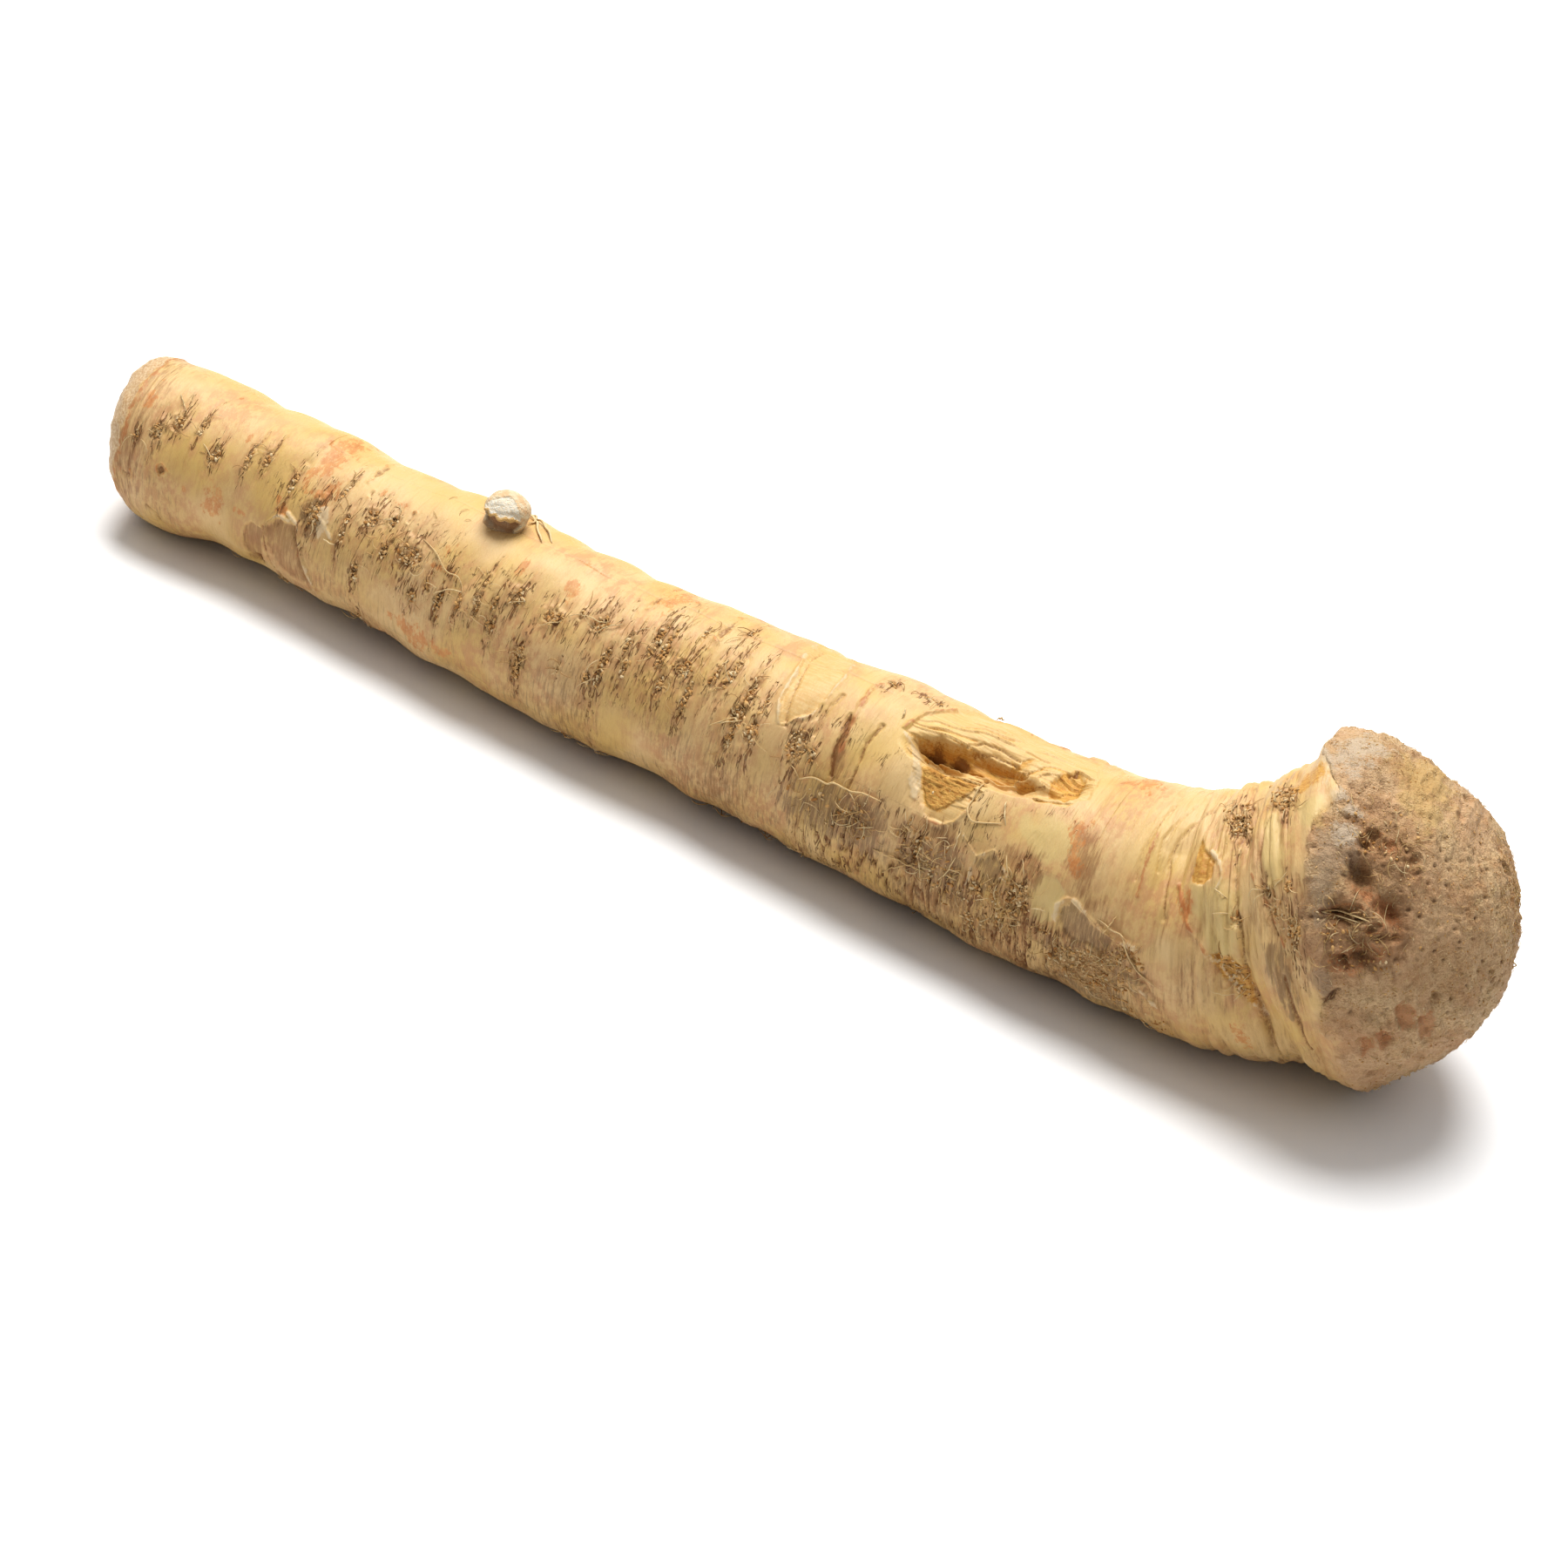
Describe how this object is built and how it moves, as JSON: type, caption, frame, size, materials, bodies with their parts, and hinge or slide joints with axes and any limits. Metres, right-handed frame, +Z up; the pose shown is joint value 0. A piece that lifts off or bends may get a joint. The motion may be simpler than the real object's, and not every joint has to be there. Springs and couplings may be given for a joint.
{
  "type": "horseradish root",
  "caption": "Fresh horseradish root lying on its side: a long bumpy rod with a cut thin end, a side-root stub, a torn gouge and a rounded crown that bends up.",
  "frame": {"origin": "centre of the footprint, on the surface the root lies on", "axes": "+Z up, +X along the root from the cut thin end to the crown, -Y the side with the torn gouge"},
  "size_m": [0.2908, 0.0599, 0.0617],
  "materials": {
    "root_skin": "dull waxy cream skin, tan and porous on the crown"
  },
  "bodies": {
    "root": {"horseradish_root": "root_skin"}
  },
  "joints": []
}
